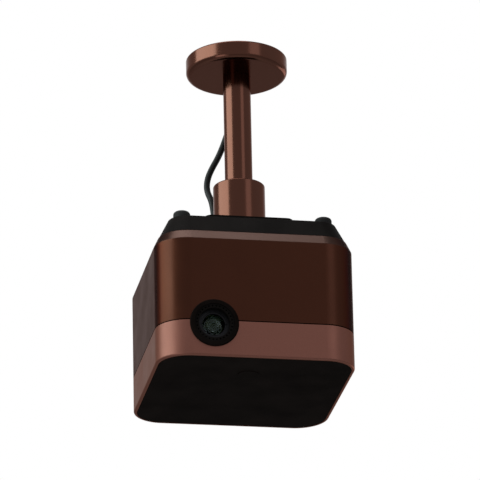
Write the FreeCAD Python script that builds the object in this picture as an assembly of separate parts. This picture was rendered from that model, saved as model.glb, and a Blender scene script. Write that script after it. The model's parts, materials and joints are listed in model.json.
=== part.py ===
import FreeCAD, Part
import math
import os

# A small projection night light that hangs, feet upwards, from a round ceiling flange.
# All sizes are in millimetres. The origin is the middle of the ceiling face, +Z points
# up into the ceiling, the lens looks along -Y and +X is on the viewer's right.

V = FreeCAD.Vector
UP = V(0, 0, 1)
BACK = V(0, 1, 0)
FRONT = V(0, -1, 0)

# Clearances shared by all fits
running_clearance = 0.05
slip_clearance = 0.1
seat_clearance = 0.3
overcut = 1.0

# Ceiling flange
flange_radius = 28.5
flange_height = 10.5
flange_wall = 1.5
flange_edge_radius = 3.0
flange_rim_radius = 1.0
plate_thickness = 3.0
plate_boss_radius = 12.0
stem_socket_floor = 2.0
ceiling_screw_circle_radius = 20.0
ceiling_screw_hole_radius = 2.25
ceiling_screw_count = 3
ceiling_screws_start_degrees = 90.0

# Stem and its lead slot
stem_radius = 7.75
stem_wall = 2.0
stem_exposed_length = 67.0
slot_drop = 29.5
slot_width = 6.2
slot_height = 15.0
grommet_lip = 0.4
connector_length = 8.2
connector_recess = 0.8
connector_hole_radius = 1.1
connector_hole_depth = 4.0
connector_hole_spacing = 5.6

# Swivel collar
collar_radius = 14.5
collar_height = 36.0
collar_edge_radius = 0.8
collar_neck_length = 11.0
swivel_shoulder_radius = 11.0
swivel_shoulder_thickness = 5.0
spigot_length = 14.0
plug_pin_radius = 1.25
plug_pin_height = 6.5
washer_thickness = 1.0
disc_spring_height = 2.5
disc_spring_thickness = 0.8
disc_spring_bore_radius = 6.5
stud_radius = 3.175
stud_depth_in_collar = 10.0
stud_depth_in_base = 9.5
insert_radius = 5.5
insert_length = 11.0

# Body of the light
body_width = 110.0
body_depth = 112.0
body_corner_radius = 18.0
plinth_height = 12.5
housing_height = 53.0
band_height = 20.5
housing_wall = 2.5
roof_thickness = 2.5
roof_rim_margin = 0.8
housing_slope_height = 5.5
housing_slope_depth = 2.6
housing_slope_edge_radius = 0.8
parting_gap = 0.6
band_wall = 3.8
band_edge_radius = 1.0
tongue_height = 3.0
tower_radius = 4.5
tower_rib_width = 3.0
panel_thickness = 3.0
panel_inset = 1.8
panel_edge_radius = 0.5

# Base plinth and feet
plinth_ledge = 0.3
plinth_top_inset = 8.5
plinth_wall = 2.5
plinth_corner_radius = 10.0
plinth_edge_radius = 1.0
pad_height = 1.5
pad_width = 49.0
pad_end_margin = 10.0
pad_offset = -2.5
pad_corner_radius = 4.0
insert_boss_radius = 9.0
foot_radius = 4.7
foot_height = 4.2
foot_recess = 1.2
foot_edge_radius = 1.8
screw_inset = 15.5
case_screw_radius = 1.5
case_screw_length = 20.0
case_screw_head_radius = 2.75
case_screw_head_height = 2.0
screw_boss_radius = 5.5
screw_seat_depth = 4.2

# Lens and optics, stacked along Y behind the front face
lens_from_side = 30.0
lens_below_parting = 1.8
bezel_radius = 13.4
bezel_proud = 1.2
bezel_edge_radius = 0.6
optics_flange_radius = 16.4
bezel_flange_thickness = 2.0
optics_tube_length = 38.0
optics_tube_radius = 12.4
optics_bore_radius = 11.0
optics_throat_radius = 9.5
tube_flange_thickness = 2.3
rear_flange_radius = 16.0
optics_screw_circle_radius = 14.6
optics_screw_count = 3
front_screws_start_degrees = 90.0
rear_screws_start_degrees = 0.0
optics_screw_radius = 1.0
optics_screw_length = 4.2
optics_screw_head_radius = 1.7
optics_screw_head_height = 1.3
focus_ring_radius = 10.95
focus_ring_proud = 0.6
focus_ring_flange = 1.4
focus_ring_flange_thickness = 1.8
focus_notch_count = 30
focus_notch_radius = 0.45
focus_notch_length = 3.0
cell_radius = 8.5
cell_wall = 1.1
cell_recess = 2.2
cell_length = 15.0
front_lens_setback = 1.0
front_lens_thickness = 4.0
rear_lens_thickness = 3.4
front_lens_curve_radius = 16.0
rear_lens_curve_radius = 20.0
lens_retainer_thickness = 1.6
lens_retainer_width = 1.2
lens_retainer_notch = 1.0
slide_thickness = 0.5
slide_retainer_thickness = 1.0
slide_holder_thickness = 4.0
slide_aperture_radius = 8.6
slide_seat_rim = 0.9
spacer_length = 7.0
ring_wall = 1.1
condenser_rim = 2.0
condenser_curve_radius = 14.0
condenser_to_sink = 10.0
retainer_thickness = 2.0
led_board_thickness = 1.6
led_board_radius = 10.0
led_base_size = 5.0
led_base_thickness = 1.2
led_dome_radius = 2.2

# Cooling at the rear
sink_width = 34.0
sink_base_thickness = 4.0
sink_height = 52.0
fin_length = 20.0
fin_thickness = 1.4
fin_count = 9
grille_above_parting = 21.0
grille_height = 20.0
grille_flange_margin = 4.0
grille_flange_thickness = 1.5
grille_slot_width = 2.2
grille_slot_height = 15.0
grille_slot_count = 17
fan_size = 30.0
fan_thickness = 10.0
fan_bore_radius = 14.2
fan_hole_offset = 12.0
fan_hole_radius = 1.6
fan_tower_gap = 0.8
fan_hub_radius = 6.0
fan_seat_radius = 6.5
fan_seat_thickness = 1.2
fan_strut_width = 2.0
fan_strut_count = 3
fan_strut_bite = 0.5
fan_struts_start_degrees = 90.0
fan_pin_radius = 1.0
fan_pin_length = 6.5
fan_blade_count = 7
fan_blade_thickness = 1.0
fan_blade_pitch_degrees = 38.0
fan_tip_clearance = 0.7
fan_hub_length = 7.0
fan_screw_radius = 1.45
fan_screw_head_radius = 2.6
fan_screw_head_height = 1.6

# Driver board above the optics
board_side_margin = 21.5
board_depth = 56.0
board_thickness = 1.6
board_drop = 9.0
board_hole_inset = 4.0
standoff_radius = 3.5
board_screw_radius = 1.2
board_screw_length = 7.0
board_screw_head_radius = 2.4
board_screw_head_height = 1.6
capacitor_radius = 4.0
capacitor_height = 10.0
capacitor_spacing = 12.0
coil_size = 10.0
coil_height = 5.0
chip_size = 7.0
chip_height = 1.6
board_part_x = 14.0
wire_radius = 0.9
terminal_size = 4.0
fan_wire_inset = 2.6
led_terminal_lift = 4.0
led_wire_gap = 2.4
switch_wire_x = 4.0
switch_wire_y = 6.0
socket_width = 9.0
socket_depth = 7.0
socket_height = 5.0
plug_width = 8.0
plug_depth = 6.0
plug_height = 6.0

# Power button on the underside
button_from_lens = 23.0
button_from_front = 28.0
button_radius = 6.0
button_proud = 0.3
button_flange = 1.0
button_flange_thickness = 1.0
button_stem_radius = 2.5
switch_body_size = 6.0
switch_body_height = 3.5
plunger_radius = 1.75
plunger_exposed = 1.0
plunger_inside = 1.0
switch_travel_room = 2.6
switch_board_width = 13.0
switch_board_length = 28.0
switch_board_thickness = 1.2
switch_board_lift = 6.0
switch_boss_radius = 3.0
switch_screw_offset = 10.0
switch_screw_radius = 1.0
switch_screw_length = 4.2
switch_screw_head_radius = 1.8
switch_screw_head_height = 1.3

# Power lead: its route lies in one upright plane, turned back from the left side by this angle.
# Each point is (distance from the stem's axis, height).
lead_radius = 1.75
lead_plane_degrees = 55.0
lead_arc_share = 0.45
lead_route = [
    (-1.6, -9.0),
    (-1.6, -24.5),
    (7.3, -40.8),
    (14.8, -52.0),
    (21.8, -61.6),
    (25.3, -67.3),
    (25.7, -73.8),
    (22.3, -81.6),
    (20.0, -90.0),
    (19.2, -99.0),
    (18.95, -107.6),
    (18.9, -116.0),
    (18.9, -124.0),
]
relief_base_radius = 3.8
relief_top_radius = 2.6
relief_height = 12.0
relief_spigot_radius = 3.0
relief_flange_radius = 4.2
relief_flange_thickness = 1.2

# Levels worked out from the sizes above
ceiling_level = 0.0
flange_level = ceiling_level - flange_height
collar_top_level = flange_level - stem_exposed_length
base_level = collar_top_level - collar_height
plinth_top_level = base_level - pad_height
housing_top_level = base_level - plinth_height
housing_slope_level = housing_top_level - housing_slope_height
parting_level = housing_top_level - housing_height
bottom_level = parting_level - band_height
floor_level = bottom_level + panel_thickness
stem_top_level = ceiling_level - stem_socket_floor
stem_end_level = collar_top_level - collar_neck_length - washer_thickness
shoulder_end_level = stem_end_level - swivel_shoulder_thickness
collar_base_level = shoulder_end_level - washer_thickness - disc_spring_height
plinth_ceiling_level = plinth_top_level - plinth_wall
tower_top_level = housing_top_level - roof_thickness
screw_seat_level = plinth_top_level - screw_seat_depth
board_level = housing_top_level - board_drop
switch_board_level = floor_level + switch_board_lift
stem_bore_radius = stem_radius - stem_wall
chamber_radius = swivel_shoulder_radius + slip_clearance

# Places worked out from the sizes above
front_face = -body_depth / 2
rear_face = body_depth / 2
lens_x = lens_from_side - body_width / 2
lens_level = parting_level - lens_below_parting
screw_x = body_width / 2 - screw_inset
screw_y = body_depth / 2 - screw_inset
bezel_front_y = front_face - bezel_proud
bezel_flange_y = front_face + band_wall + slip_clearance
bezel_rear_y = bezel_flange_y + bezel_flange_thickness
sink_y = bezel_rear_y + optics_tube_length
condenser_y = sink_y - condenser_to_sink
spacer_y = condenser_y - condenser_rim - spacer_length
slide_holder_y = spacer_y - slide_holder_thickness
cell_y = front_face + cell_recess
grille_level = parting_level + grille_above_parting
grille_plate_y = rear_face - housing_wall
grille_inner_y = grille_plate_y - grille_flange_thickness
fan_front_y = grille_inner_y - fan_thickness
fan_x = -(screw_x - tower_radius - fan_tower_gap - fan_size / 2)
roof_rim = screw_inset + tower_radius + roof_rim_margin
plinth_base_inset = housing_slope_depth + plinth_ledge
button_x = lens_x + button_from_lens
button_y = front_face + button_from_front
grille_width = body_width - 2 * (body_corner_radius + grille_flange_margin)
pad_depth = body_depth - 2 * pad_end_margin
board_width = body_width - 2 * board_side_margin
CORNERS = ((1, 1), (-1, 1), (-1, -1), (1, -1))


def rounded_outline(width, depth, radius, level, middle_x=0.0):
    """Closed outline of a level rectangle with round corners."""
    arcs = []
    for quarter, (side_x, side_y) in enumerate(CORNERS):
        centre = V(middle_x + side_x * (width / 2 - radius), side_y * (depth / 2 - radius), level)
        points = []
        for step in range(3):
            angle = math.radians(90 * quarter + 45 * step)
            points.append(centre + V(radius * math.cos(angle), radius * math.sin(angle), 0))
        arcs.append(points)
    edges = []
    for index, points in enumerate(arcs):
        following = arcs[(index + 1) % len(arcs)]
        edges.append(Part.Arc(*points).toShape())
        edges.append(Part.LineSegment(points[2], following[0]).toShape())
    return Part.Wire(edges)


def rounded_prism(width, depth, radius, low, high, middle_x=0.0):
    """Upright prism on a rounded rectangle."""
    outline = rounded_outline(width, depth, radius, low, middle_x)
    return Part.Face(outline).extrude(V(0, 0, high - low))


def body_outline(inset, level):
    """The body's outline, drawn in by inset."""
    return rounded_outline(
        body_width - 2 * inset, body_depth - 2 * inset, body_corner_radius - inset, level
    )


def body_prism(inset, low, high):
    """Upright prism on the body's outline, drawn in by inset."""
    return Part.Face(body_outline(inset, low)).extrude(V(0, 0, high - low))


def upright(radius, low, high, x=0.0, y=0.0):
    """Upright cylinder between two levels."""
    return Part.makeCylinder(radius, high - low, V(x, y, low), UP)


def upright_ring(outer, inner, low, high, x=0.0, y=0.0):
    """Upright ring between two levels."""
    bore = upright(inner, low - overcut, high + overcut, x, y)
    return upright(outer, low, high, x, y).cut(bore)


def along_axis(radius, near, far, x=lens_x, level=lens_level):
    """Cylinder along Y, on the optical axis unless another is given."""
    return Part.makeCylinder(radius, far - near, V(x, near, level), BACK)


def axis_ring(outer, inner, near, far):
    """Ring on the optical axis."""
    return along_axis(outer, near, far).cut(along_axis(inner, near - overcut, far + overcut))


def block(x_low, x_high, y_low, y_high, z_low, z_high):
    """Box between two corners."""
    return Part.makeBox(x_high - x_low, y_high - y_low, z_high - z_low, V(x_low, y_low, z_low))


def middle_block(x, y, width, depth, low, high):
    """Box standing on a level, centred on x and y."""
    return block(x - width / 2, x + width / 2, y - depth / 2, y + depth / 2, low, high)


def level_edges(shape, level):
    """Edges that lie wholly at one level."""
    found = []
    for edge in shape.Edges:
        box = edge.BoundBox
        if abs(box.ZMin - level) < 1e-6 and abs(box.ZMax - level) < 1e-6:
            found.append(edge)
    return found


def facing_edges(shape, y):
    """Edges that lie wholly in one plane across Y."""
    found = []
    for edge in shape.Edges:
        box = edge.BoundBox
        if abs(box.YMin - y) < 1e-6 and abs(box.YMax - y) < 1e-6:
            found.append(edge)
    return found


def around(count, start=0.0):
    """Evenly spaced angles of a full turn, in degrees."""
    return [start + 360.0 * index / count for index in range(count)]


def axis_point(radius, degrees):
    """X and level of a point on a circle round the optical axis."""
    angle = math.radians(degrees)
    return lens_x + radius * math.cos(angle), lens_level + radius * math.sin(angle)


def fuse_all(shapes):
    """One solid from several that meet."""
    joined = shapes[0].multiFuse(shapes[1:])
    return joined.removeSplitter()


def corner_places():
    """The four screw places of the case."""
    return [(side_x * screw_x, side_y * screw_y) for side_x, side_y in CORNERS]


def board_places():
    """The four screw places of the driver board."""
    x = board_width / 2 - board_hole_inset
    y = board_depth / 2 - board_hole_inset
    return [(side_x * x, side_y * y) for side_x, side_y in CORNERS]


def fan_places():
    """The four screw places of the fan, as x and level."""
    return [(fan_x + sx * fan_hole_offset, grille_level + sz * fan_hole_offset) for sx, sz in CORNERS]


# Power lead

def lead_point(distance, level):
    """Point of the lead's plane."""
    angle = math.radians(lead_plane_degrees)
    return V(-distance * math.cos(angle), distance * math.sin(angle), level)


def rounded_path(points):
    """Straight runs joined by tangent arcs as large as the runs allow, and the arcs' radii."""
    edges = []
    radii = []
    start = points[0]
    for before, corner, after in zip(points, points[1:], points[2:]):
        incoming = (corner - before).normalize()
        outgoing = (after - corner).normalize()
        half_turn = incoming.getAngle(outgoing) / 2
        reach = lead_arc_share * min((corner - before).Length, (after - corner).Length)
        radius = reach / math.tan(half_turn)
        inward = (outgoing - incoming).normalize()
        middle = corner + inward * (radius / math.cos(half_turn) - radius)
        arc_start = corner - incoming * reach
        arc_end = corner + outgoing * reach
        edges.append(Part.LineSegment(start, arc_start).toShape())
        edges.append(Part.Arc(arc_start, middle, arc_end).toShape())
        radii.append(radius)
        start = arc_end
    edges.append(Part.LineSegment(start, points[-1]).toShape())
    return Part.Wire(edges), radii


def lead_tube(radius):
    """Round tube along the lead's route."""
    points = [lead_point(*place) for place in lead_route]
    path, radii = rounded_path(points)
    section = Part.Wire(Part.makeCircle(radius, points[0], points[1] - points[0]))
    tube = path.makePipeShell([section], True, False)
    return tube, path.Length, radii


def make_power_lead():
    tube, length, radii = lead_tube(lead_radius)
    expected = math.pi * lead_radius**2 * length
    print("lead length %.1f mm, volume %.1f of %.1f" % (length, tube.Volume, expected))
    print("lead arc radii", ["%.1f" % radius for radius in radii])
    return tube


def lead_tunnel():
    """Room that the lead needs in what it passes through."""
    return lead_tube(lead_radius + slip_clearance)[0]


# Ceiling mount

def make_ceiling_plate():
    plate = upright(flange_radius - flange_wall - slip_clearance, -plate_thickness, ceiling_level)
    boss = upright(plate_boss_radius, flange_level + flange_wall, -plate_thickness)
    solid = fuse_all([plate, boss])
    solid = solid.cut(upright(stem_radius, flange_level, stem_top_level))
    solid = solid.cut(upright(stem_bore_radius, flange_level, overcut))
    for degrees in around(ceiling_screw_count, ceiling_screws_start_degrees):
        angle = math.radians(degrees)
        x = ceiling_screw_circle_radius * math.cos(angle)
        y = ceiling_screw_circle_radius * math.sin(angle)
        solid = solid.cut(upright(ceiling_screw_hole_radius, flange_level, overcut, x, y))
    return solid


def make_flange_cover():
    cover = upright(flange_radius, flange_level, ceiling_level)
    cover = cover.makeFillet(flange_edge_radius, level_edges(cover, flange_level))
    cover = cover.makeFillet(flange_rim_radius, level_edges(cover, ceiling_level))
    cover = cover.cut(upright(flange_radius - flange_wall, flange_level + flange_wall, overcut))
    return cover.cut(upright(stem_radius + running_clearance, flange_level - overcut, overcut))


def lead_slot(width, height):
    """Upright slot with round ends, through one side of the stem."""
    middle = flange_level - slot_drop
    angle = math.radians(lead_plane_degrees)
    outward = V(-math.cos(angle), math.sin(angle), 0)
    reach = stem_radius + grommet_lip + overcut
    ends = (height - width) / 2
    top = Part.makeCylinder(width / 2, reach, V(0, 0, middle + ends), outward)
    bottom = Part.makeCylinder(width / 2, reach, V(0, 0, middle - ends), outward)
    waist = block(0, reach, -width / 2, width / 2, middle - ends, middle + ends)
    waist.rotate(V(0, 0, 0), UP, 180 - lead_plane_degrees)
    return fuse_all([top, bottom, waist])


def make_stem_tube():
    tube = upright_ring(stem_radius, stem_bore_radius, stem_end_level, stem_top_level)
    tube = tube.cut(lead_slot(slot_width, slot_height))
    return tube.cut(plug_pin_room())


def make_stem_grommet():
    low = flange_level - slot_drop - slot_height
    high = flange_level - slot_drop + slot_height
    lip_width = slot_width + 2 * grommet_lip
    lip_height = slot_height + 2 * grommet_lip
    layers = [
        (slot_width, slot_height, stem_bore_radius, stem_radius),
        (lip_width, lip_height, stem_radius, stem_radius + grommet_lip),
        (lip_width, lip_height, stem_bore_radius - grommet_lip, stem_bore_radius),
    ]
    solids = []
    for width, height, inner, outer in layers:
        solids.append(lead_slot(width, height).common(upright_ring(outer, inner, low, high)))
    return fuse_all(solids).cut(lead_tunnel())


def make_lead_connector():
    top = ceiling_level - connector_recess
    radius = stem_bore_radius - running_clearance
    body = upright(radius, top - connector_length, top)
    for side in (-1, 1):
        x = side * connector_hole_spacing / 2
        hole = upright(connector_hole_radius, top - connector_hole_depth, top + overcut, x)
        body = body.cut(hole)
    return body


def plug_pin_room():
    """Cross hole for the pin through the stem and the swivel plug."""
    level = stem_end_level + plug_pin_height
    return Part.makeCylinder(plug_pin_radius, 2 * stem_radius, V(-stem_radius, 0, level), V(1, 0, 0))


def make_plug_pin():
    return plug_pin_room().common(upright(stem_radius, stem_end_level, collar_top_level))


def make_swivel_plug():
    spigot = upright(stem_bore_radius, stem_end_level, stem_end_level + spigot_length)
    shoulder = upright(swivel_shoulder_radius, shoulder_end_level, stem_end_level)
    return fuse_all([spigot, shoulder]).cut(plug_pin_room())


# Swivel collar and its screw joint to the body

def make_swivel_collar():
    collar = upright(collar_radius, base_level, collar_top_level)
    collar = collar.makeFillet(collar_edge_radius, level_edges(collar, collar_top_level))
    neck = upright(stem_radius + running_clearance, base_level, collar_top_level + overcut)
    chamber = upright(chamber_radius, base_level - overcut, collar_top_level - collar_neck_length)
    return collar.cut(neck).cut(chamber)


def make_friction_washers():
    upper_top = collar_top_level - collar_neck_length
    bore = stem_radius + seat_clearance
    upper = upright_ring(swivel_shoulder_radius, bore, upper_top - washer_thickness, upper_top)
    lower_low = shoulder_end_level - washer_thickness
    lower = upright_ring(swivel_shoulder_radius, disc_spring_bore_radius, lower_low, shoulder_end_level)
    return Part.Compound([upper, lower])


def make_disc_spring():
    top = shoulder_end_level - washer_thickness
    outer = swivel_shoulder_radius
    profile = [
        V(disc_spring_bore_radius, 0, top),
        V(disc_spring_bore_radius, 0, top - disc_spring_thickness),
        V(outer, 0, collar_base_level),
        V(outer, 0, collar_base_level + disc_spring_thickness),
    ]
    outline = Part.makePolygon(profile + profile[:1])
    return Part.Face(outline).revolve(V(0, 0, 0), UP, 360)


def make_collar_base():
    base = upright(chamber_radius, base_level, collar_base_level)
    return base.cut(upright(stud_radius, base_level - overcut, base_level + stud_depth_in_collar))


def make_mount_stud():
    return upright(stud_radius, base_level - stud_depth_in_base, base_level + stud_depth_in_collar)


def make_base_insert():
    return upright_ring(insert_radius, stud_radius, base_level - insert_length, base_level)


# Base plinth, feet and case screws

def make_base_plinth():
    base_outline = body_outline(plinth_base_inset, housing_top_level)
    top_width = body_width - 2 * plinth_top_inset
    top_depth = body_depth - 2 * plinth_top_inset
    top_outline = rounded_outline(top_width, top_depth, plinth_corner_radius, plinth_top_level)
    shell = Part.makeLoft([base_outline, top_outline], True, True)
    shell = shell.makeFillet(plinth_edge_radius, level_edges(shell, plinth_top_level))
    cavity = rounded_prism(
        top_width - 2 * plinth_wall,
        top_depth - 2 * plinth_wall,
        plinth_corner_radius - plinth_wall,
        housing_top_level - overcut,
        plinth_ceiling_level,
    )
    pad = rounded_prism(
        pad_width, pad_depth, pad_corner_radius, plinth_top_level, base_level, pad_offset
    )
    added = [shell.cut(cavity), pad]
    added.append(upright(insert_boss_radius, housing_top_level, plinth_top_level))
    for x, y in corner_places():
        added.append(upright(screw_boss_radius, housing_top_level, plinth_ceiling_level, x, y))
    for x, y in board_places():
        added.append(upright(standoff_radius, board_level, plinth_top_level, x, y))
    plinth = fuse_all(added)
    plinth = plinth.cut(upright(insert_radius, base_level - insert_length, base_level + overcut))
    for x, y in corner_places():
        recess_level = plinth_top_level - foot_recess
        head_room = case_screw_head_radius + slip_clearance
        plinth = plinth.cut(upright(foot_radius, recess_level, base_level, x, y))
        plinth = plinth.cut(upright(head_room, screw_seat_level, base_level, x, y))
        plinth = plinth.cut(case_screw_room(x, y))
    for x, y in board_places():
        plinth = plinth.cut(board_screw_shank(x, y))
    return plinth.cut(relief_body())


def case_screw_room(x, y):
    """Clear hole for one case screw."""
    low = screw_seat_level - case_screw_length
    return upright(case_screw_radius + slip_clearance, low, base_level, x, y)


def make_rubber_feet():
    feet = []
    low = plinth_top_level - foot_recess
    high = plinth_top_level + foot_height
    for x, y in corner_places():
        foot = upright(foot_radius, low, high, x, y)
        feet.append(foot.makeFillet(foot_edge_radius, level_edges(foot, high)))
    return Part.Compound(feet)


def make_case_screws():
    screws = []
    for x, y in corner_places():
        head_top = screw_seat_level + case_screw_head_height
        shank_end = screw_seat_level - case_screw_length
        head = upright(case_screw_head_radius, screw_seat_level, head_top, x, y)
        shank = upright(case_screw_radius, shank_end, screw_seat_level, x, y)
        screws.append(fuse_all([head, shank]))
    return Part.Compound(screws)


def relief_body():
    """Outer form of the lead's strain relief, through the plinth's top."""
    middle = lead_point(*lead_route[-3])
    x, y = middle.x, middle.y
    cone = Part.makeCone(
        relief_base_radius, relief_top_radius, relief_height, V(x, y, base_level), UP
    )
    spigot = upright(relief_spigot_radius, plinth_ceiling_level, base_level, x, y)
    flange_low = plinth_ceiling_level - relief_flange_thickness
    flange = upright(relief_flange_radius, flange_low, plinth_ceiling_level, x, y)
    return fuse_all([cone, spigot, flange])


def make_lead_relief():
    return relief_body().cut(lead_tunnel())


# Case shells

def lens_hole():
    """Hole for the lens bezel, through both shells."""
    return along_axis(bezel_radius + slip_clearance, front_face - overcut, bezel_flange_y)


def grille_block(margin, near, far):
    """Block round the rear grille's middle, wider than its plate by margin on each side."""
    half_width = grille_width / 2 + margin
    half_height = grille_height / 2 + margin
    return block(
        -half_width, half_width, near, far, grille_level - half_height, grille_level + half_height
    )


def make_upper_housing():
    low = parting_level + parting_gap / 2
    shell = housing_form(0, low, housing_top_level)
    rims = level_edges(shell, housing_top_level) + level_edges(shell, housing_slope_level)
    shell = shell.makeFillet(housing_slope_edge_radius, rims)
    cavity = housing_form(housing_wall, low - overcut, tower_top_level)
    shell = shell.cut(cavity).cut(roof_opening())
    for x, y in corner_places():
        shell = shell.cut(case_screw_room(x, y))
    window = grille_block(slip_clearance, grille_plate_y, rear_face + overcut)
    return shell.cut(lens_hole()).cut(window)


def housing_form(inset, low, high):
    """Body form whose top edge slopes in all round, drawn in by inset."""
    slope_level = high - housing_slope_height
    wall = body_prism(inset, low, slope_level)
    top_outline = body_outline(inset + housing_slope_depth, high)
    slope = Part.makeLoft([body_outline(inset, slope_level), top_outline], True, True)
    return fuse_all([wall, slope])


def roof_opening():
    """Opening in the roof, under the plinth."""
    return rounded_prism(
        body_width - 2 * roof_rim,
        body_depth - 2 * roof_rim,
        body_corner_radius - housing_wall,
        tower_top_level - overcut,
        housing_top_level + overcut,
    )


def make_lower_band():
    top = parting_level - parting_gap / 2
    tongue_top = parting_level + tongue_height
    wall = body_prism(0, bottom_level, top)
    wall = wall.makeFillet(band_edge_radius, level_edges(wall, bottom_level))
    tongue = body_prism(housing_wall + slip_clearance, floor_level, tongue_top)
    band = fuse_all([wall, tongue]).cut(body_prism(band_wall, bottom_level - overcut, tongue_top + overcut))
    band = band.cut(body_prism(panel_inset - slip_clearance, bottom_level - overcut, floor_level))
    added = [band]
    for x, y in corner_places():
        added.append(upright(tower_radius, floor_level, tower_top_level, x, y))
        added.append(tower_rib(x, y, top))
    band = fuse_all(added)
    for x, y in corner_places():
        shank_end = screw_seat_level - case_screw_length
        band = band.cut(upright(case_screw_radius, shank_end, housing_top_level, x, y))
    return band.cut(lens_hole()).cut(optics_room())


def optics_room():
    """Room that the optics' tube needs beside the screw tower in front."""
    return along_axis(optics_tube_radius + seat_clearance, bezel_rear_y, sink_y)


def tower_rib(x, y, top):
    """Web that ties a screw tower to its corner of the band."""
    corner_offset = math.sqrt(2) * (screw_inset - body_corner_radius)
    reach = corner_offset + body_corner_radius - band_wall / 2
    rib = block(0, reach, -tower_rib_width / 2, tower_rib_width / 2, floor_level, top)
    rib.rotate(V(0, 0, 0), UP, math.degrees(math.atan2(y / abs(y), x / abs(x))))
    rib.translate(V(x, y, 0))
    return rib


def make_bottom_panel():
    panel = body_prism(panel_inset, bottom_level, floor_level)
    panel = panel.makeFillet(panel_edge_radius, level_edges(panel, bottom_level))
    added = [panel]
    for side in (-1, 1):
        y = button_y + side * switch_screw_offset
        added.append(upright(switch_boss_radius, floor_level, switch_board_level, button_x, y))
    panel = fuse_all(added)
    hole = upright(button_radius + slip_clearance, bottom_level - overcut, floor_level, button_x, button_y)
    panel = panel.cut(hole)
    for side in (-1, 1):
        panel = panel.cut(switch_screw_shank(button_y + side * switch_screw_offset))
    return panel


def make_rear_grille():
    plate = grille_block(0, grille_plate_y, rear_face)
    flange = grille_block(grille_flange_margin, grille_inner_y, grille_plate_y)
    grille = fuse_all([plate, flange])
    pitch = grille_width / grille_slot_count
    for index in range(grille_slot_count):
        x = (index - (grille_slot_count - 1) / 2) * pitch
        grille = grille.cut(block(
            x - grille_slot_width / 2,
            x + grille_slot_width / 2,
            grille_inner_y - overcut,
            rear_face + overcut,
            grille_level - grille_slot_height / 2,
            grille_level + grille_slot_height / 2,
        ))
    for x, level in fan_places():
        grille = grille.cut(fan_screw_shank(x, level))
    return grille


# Lens and optics

def optics_screw_places(start):
    """X and level of the optics screws, the first at the start angle."""
    return [axis_point(optics_screw_circle_radius, a) for a in around(optics_screw_count, start)]


def flange_disc(radius, near, far):
    """Disc on the optical axis, cut back where it would meet the case's inside."""
    room = body_prism(band_wall + slip_clearance, floor_level + slip_clearance, tower_top_level)
    return along_axis(radius, near, far).common(room)


def make_lens_bezel():
    nose = along_axis(bezel_radius, bezel_front_y, bezel_rear_y)
    nose = nose.makeFillet(bezel_edge_radius, facing_edges(nose, bezel_front_y))
    flange = flange_disc(optics_flange_radius, bezel_flange_y, bezel_rear_y)
    bezel = fuse_all([nose, flange])
    bore = along_axis(focus_ring_radius + running_clearance, bezel_front_y - overcut, bezel_rear_y)
    step = focus_ring_radius + focus_ring_flange + running_clearance
    seat = along_axis(step, ring_flange_y() - running_clearance, bezel_rear_y + overcut)
    bezel = bezel.cut(bore).cut(seat)
    for x, level in optics_screw_places(front_screws_start_degrees):
        end = bezel_rear_y + tube_flange_thickness - optics_screw_length
        bezel = bezel.cut(along_axis(optics_screw_radius, end, bezel_rear_y + overcut, x, level))
    return bezel


def ring_flange_y():
    """Front face of the focus ring's retaining flange."""
    return bezel_rear_y - running_clearance - focus_ring_flange_thickness


def make_focus_ring():
    near = front_face - focus_ring_proud
    far = bezel_rear_y - running_clearance
    ring = along_axis(focus_ring_radius, near, far)
    ring = fuse_all([ring, along_axis(focus_ring_radius + focus_ring_flange, ring_flange_y(), far)])
    ring = ring.cut(along_axis(cell_radius + slip_clearance, near - overcut, far + overcut))
    notch_circle = (focus_ring_radius + cell_radius) / 2
    notches = []
    for degrees in around(focus_notch_count):
        x, level = axis_point(notch_circle, degrees)
        notches.append(along_axis(focus_notch_radius, near - overcut, near + focus_notch_length, x, level))
    return ring.cut(Part.Compound(notches))


def make_lens_cell():
    return axis_ring(cell_radius, cell_radius - cell_wall, cell_y, cell_y + cell_length)


def domed_lens(radius, near, far, curve_radius):
    """Glass between two planes, with both faces domed."""
    rim = along_axis(radius, near, far)
    front_ball = Part.makeSphere(curve_radius, V(lens_x, near + curve_radius, lens_level))
    rear_ball = Part.makeSphere(curve_radius, V(lens_x, far - curve_radius, lens_level))
    return rim.common(front_ball).common(rear_ball)


def make_front_lens():
    near = cell_y + front_lens_setback
    radius = cell_radius - cell_wall
    return domed_lens(radius, near, near + front_lens_thickness, front_lens_curve_radius)


def make_rear_lens():
    far = cell_y + cell_length - front_lens_setback
    radius = cell_radius - cell_wall
    return domed_lens(radius, far - rear_lens_thickness, far, rear_lens_curve_radius)


def lens_retainer(near):
    """Threaded ring in the mouth of the lens cell, with two notches for a spanner."""
    radius = cell_radius - cell_wall
    far = near + lens_retainer_thickness
    ring = axis_ring(radius, radius - lens_retainer_width, near, far)
    half = lens_retainer_notch / 2
    notches = block(
        lens_x - radius, lens_x + radius, near - overcut, near + half, lens_level - half, lens_level + half
    )
    return ring.cut(notches)


def make_lens_retainers():
    front_rim = lens_rim_y(cell_y + front_lens_setback, front_lens_curve_radius)
    rear_rim = lens_rim_y(0, rear_lens_curve_radius)
    rear_near = cell_y + cell_length - front_lens_setback - rear_rim + running_clearance
    front = lens_retainer(front_rim - lens_retainer_thickness - running_clearance)
    return Part.Compound([front, lens_retainer(rear_near)])


def lens_rim_y(near, curve_radius):
    """Plane where a dome that starts at near has fallen back to the retaining ring's inner edge."""
    reach = cell_radius - cell_wall - lens_retainer_width
    return near + curve_radius - math.sqrt(curve_radius**2 - reach**2)


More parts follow.
